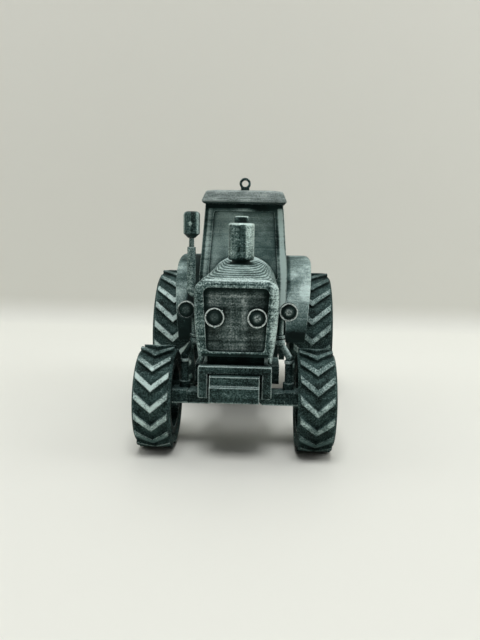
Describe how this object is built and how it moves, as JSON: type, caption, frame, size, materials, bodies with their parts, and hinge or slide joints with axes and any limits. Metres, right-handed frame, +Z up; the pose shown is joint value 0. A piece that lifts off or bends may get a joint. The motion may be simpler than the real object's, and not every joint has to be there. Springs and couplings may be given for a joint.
{
  "type": "model tractor",
  "caption": "Small printed model of a farm tractor with a closed cab, lugged tyres that roll, lamps on its nose, a muffler, a side stack and a hanging ring on its roof.",
  "frame": {"origin": "on the ground at the middle of the outer box", "axes": "+X is the tractor's left, -Y is the way it faces, +Z is up"},
  "size_m": [0.058, 0.097, 0.0715],
  "materials": {
    "dark_print": "near-black printed plastic with pale dry-brushed edges",
    "body_print": "grey-green printed plastic with pale dry-brushed edges and layer lines",
    "pane_print": "opaque painted panes with pale streaks",
    "lamp_print": "silver dry-brushed printed plastic",
    "tyre_print": "near-black printed plastic with silver lug tops"
  },
  "bodies": {
    "body": {"front_axle": "dark_print", "knuckle_left": "dark_print", "knuckle_right": "dark_print", "knuckle_arms": "dark_print", "front_bolster": "dark_print", "ballast_carrier": "dark_print", "ballast_block": "dark_print", "radiator": "dark_print", "engine_block": "dark_print", "gearbox": "dark_print", "rear_axle": "dark_print", "hood": "body_print", "grille": "body_print", "grille_lamps": "lamp_print", "lamp_posts": "dark_print", "side_lamps": "lamp_print", "muffler": "dark_print", "stack_pipe": "dark_print", "stack_head": "dark_print", "cab_floor": "dark_print", "cab_front": "body_print", "cab_left": "body_print", "cab_right": "body_print", "cab_rear": "body_print", "windscreen": "pane_print", "side_windows": "pane_print", "rear_window": "pane_print", "roof": "body_print", "hanging_ring": "body_print", "fender_left": "body_print", "fender_right": "body_print", "drawbar": "dark_print", "lift_arms": "dark_print", "hub_caps": "dark_print"},
    "front_wheel_left": {"front_tyre_left": "tyre_print", "front_rim_left": "body_print"},
    "front_wheel_right": {"front_tyre_right": "tyre_print", "front_rim_right": "body_print"},
    "rear_wheel_left": {"rear_tyre_left": "tyre_print", "rear_rim_left": "body_print"},
    "rear_wheel_right": {"rear_tyre_right": "tyre_print", "rear_rim_right": "body_print"}
  },
  "joints": [
    {"name": "front_left_roll", "type": "hinge", "parent": "body", "child": "front_wheel_left", "pos_m": [0.02, -0.03545, 0.0131], "axis": [1, 0, 0], "continuous": true},
    {"name": "front_right_roll", "type": "hinge", "parent": "body", "child": "front_wheel_right", "pos_m": [-0.02, -0.03545, 0.0131], "axis": [1, 0, 0], "continuous": true},
    {"name": "rear_left_roll", "type": "hinge", "parent": "body", "child": "rear_wheel_left", "pos_m": [0.0223, 0.02455, 0.0205], "axis": [1, 0, 0], "continuous": true},
    {"name": "rear_right_roll", "type": "hinge", "parent": "body", "child": "rear_wheel_right", "pos_m": [-0.0223, 0.02455, 0.0205], "axis": [1, 0, 0], "continuous": true}
  ]
}
